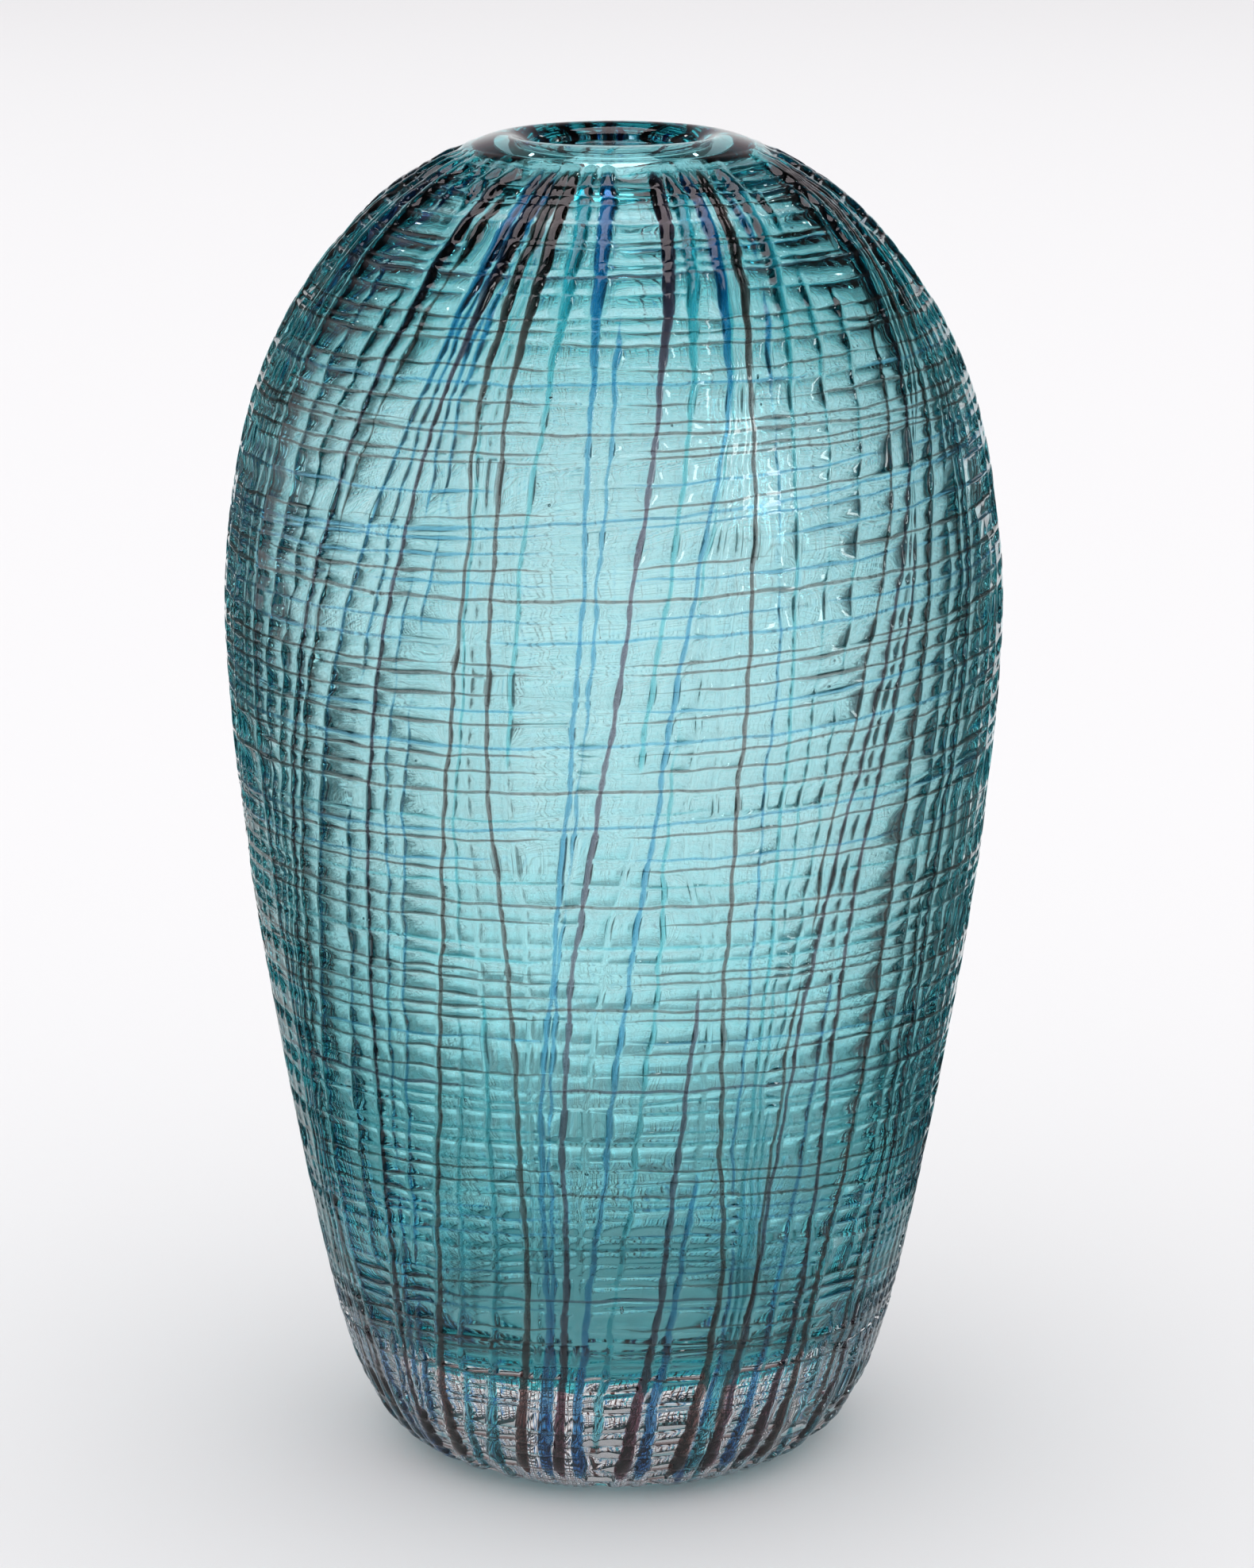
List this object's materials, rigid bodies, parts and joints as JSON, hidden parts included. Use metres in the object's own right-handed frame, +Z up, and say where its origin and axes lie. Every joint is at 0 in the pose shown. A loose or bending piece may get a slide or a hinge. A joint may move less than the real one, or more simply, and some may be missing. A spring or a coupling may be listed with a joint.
{
  "type": "vase",
  "caption": "Tall ovoid blown glass vase: narrow rolled mouth, teal bubble in a clear casing, raised net of coloured glass threads.",
  "frame": {"origin": "middle of the flat foot, on the surface the vase stands on", "axes": "+Z up along the vase's axis to the mouth; -Y is the side that the picture faces"},
  "size_m": [0.2056, 0.2052, 0.356],
  "materials": {
    "clear_glass": "gloss",
    "teal_glass": "gloss",
    "aubergine_glass": "gloss",
    "brown_glass": "gloss",
    "blue_glass": "gloss"
  },
  "bodies": {
    "root": {"clear_casing": "clear_glass", "teal_bubble": "teal_glass", "lip": "clear_glass", "aubergine_cane_01": "aubergine_glass", "aubergine_cane_02": "aubergine_glass", "blue_cane_03": "blue_glass", "aubergine_cane_04": "aubergine_glass", "brown_cane_05": "brown_glass", "teal_cane_06": "teal_glass", "brown_cane_07": "brown_glass", "teal_cane_08": "teal_glass", "blue_cane_09": "blue_glass", "aubergine_cane_10": "aubergine_glass", "teal_cane_11": "teal_glass", "blue_cane_12": "blue_glass", "aubergine_cane_13": "aubergine_glass", "blue_cane_14": "blue_glass", "brown_cane_15": "brown_glass", "teal_cane_16": "teal_glass", "aubergine_cane_17": "aubergine_glass", "blue_cane_18": "blue_glass", "aubergine_cane_19": "aubergine_glass", "brown_cane_20": "brown_glass", "aubergine_cane_21": "aubergine_glass", "aubergine_cane_22": "aubergine_glass", "teal_cane_23": "teal_glass", "brown_cane_24": "brown_glass", "blue_cane_25": "blue_glass", "aubergine_cane_26": "aubergine_glass", "aubergine_cane_27": "aubergine_glass", "teal_cane_28": "teal_glass", "brown_cane_29": "brown_glass", "blue_cane_30": "blue_glass", "aubergine_cane_31": "aubergine_glass", "aubergine_cane_32": "aubergine_glass", "teal_cane_33": "teal_glass", "brown_cane_34": "brown_glass", "blue_cane_35": "blue_glass", "teal_trail_01": "teal_glass", "aubergine_trail_02": "aubergine_glass", "brown_trail_03": "brown_glass", "blue_trail_04": "blue_glass", "brown_trail_05": "brown_glass", "blue_trail_06": "blue_glass", "brown_trail_07": "brown_glass", "blue_trail_08": "blue_glass", "blue_trail_09": "blue_glass", "brown_trail_10": "brown_glass", "blue_trail_11": "blue_glass", "brown_trail_12": "brown_glass", "teal_trail_13": "teal_glass", "brown_trail_14": "brown_glass", "aubergine_trail_15": "aubergine_glass", "teal_trail_16": "teal_glass", "brown_trail_17": "brown_glass", "teal_trail_18": "teal_glass", "aubergine_trail_19": "aubergine_glass"}
  },
  "joints": []
}
